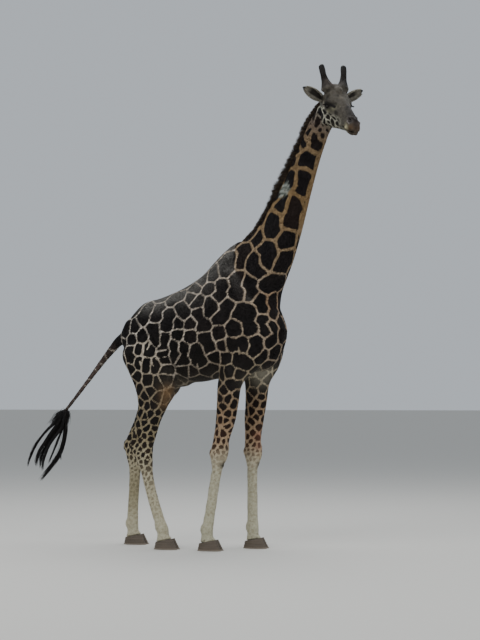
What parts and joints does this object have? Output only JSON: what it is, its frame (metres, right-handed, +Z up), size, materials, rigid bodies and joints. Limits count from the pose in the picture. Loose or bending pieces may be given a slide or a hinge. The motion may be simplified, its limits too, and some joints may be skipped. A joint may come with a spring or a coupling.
{
  "type": "giraffe",
  "caption": "Standing adult bull giraffe, life size, head turned to its right, tail swung back, with separate head, neck, trunk, legs, ears, horns, hooves and tail.",
  "frame": {"origin": "middle of the animal's outline, on the floor under its four feet", "axes": "+Z up, +X ahead along the trunk, +Y to the animal's left"},
  "size_m": [4.0848, 0.8934, 5.259],
  "materials": {
    "coat": "short flat hair in dark brown patches parted by pale lines",
    "face": "short grey-brown hair, darker on the nose",
    "leg": "short tan hair with brown blotches, off-white below the knee",
    "mane_hair": "coarse dark brown hair",
    "tassel_hair": "long coarse black hair",
    "horn": "dark skin with worn black hair at the tips",
    "hoof": "ringed brown-grey horn with dust on it",
    "eye": "wet dark brown"
  },
  "bodies": {
    "root": {"trunk": "coat", "neck": "coat", "tail": "coat", "tail_tassel": "tassel_hair", "mane": "mane_hair", "head": "face", "ear_left": "face", "ear_right": "face", "horn_left": "horn", "horn_right": "horn", "eye_left": "eye", "eye_right": "eye", "foreleg_left": "leg", "foreleg_right": "leg", "hindleg_left": "leg", "hindleg_right": "leg", "hoof_fore_left_inner": "hoof", "hoof_fore_left_outer": "hoof", "hoof_fore_right_inner": "hoof", "hoof_fore_right_outer": "hoof", "hoof_hind_left_inner": "hoof", "hoof_hind_left_outer": "hoof", "hoof_hind_right_inner": "hoof", "hoof_hind_right_outer": "hoof"}
  },
  "joints": []
}
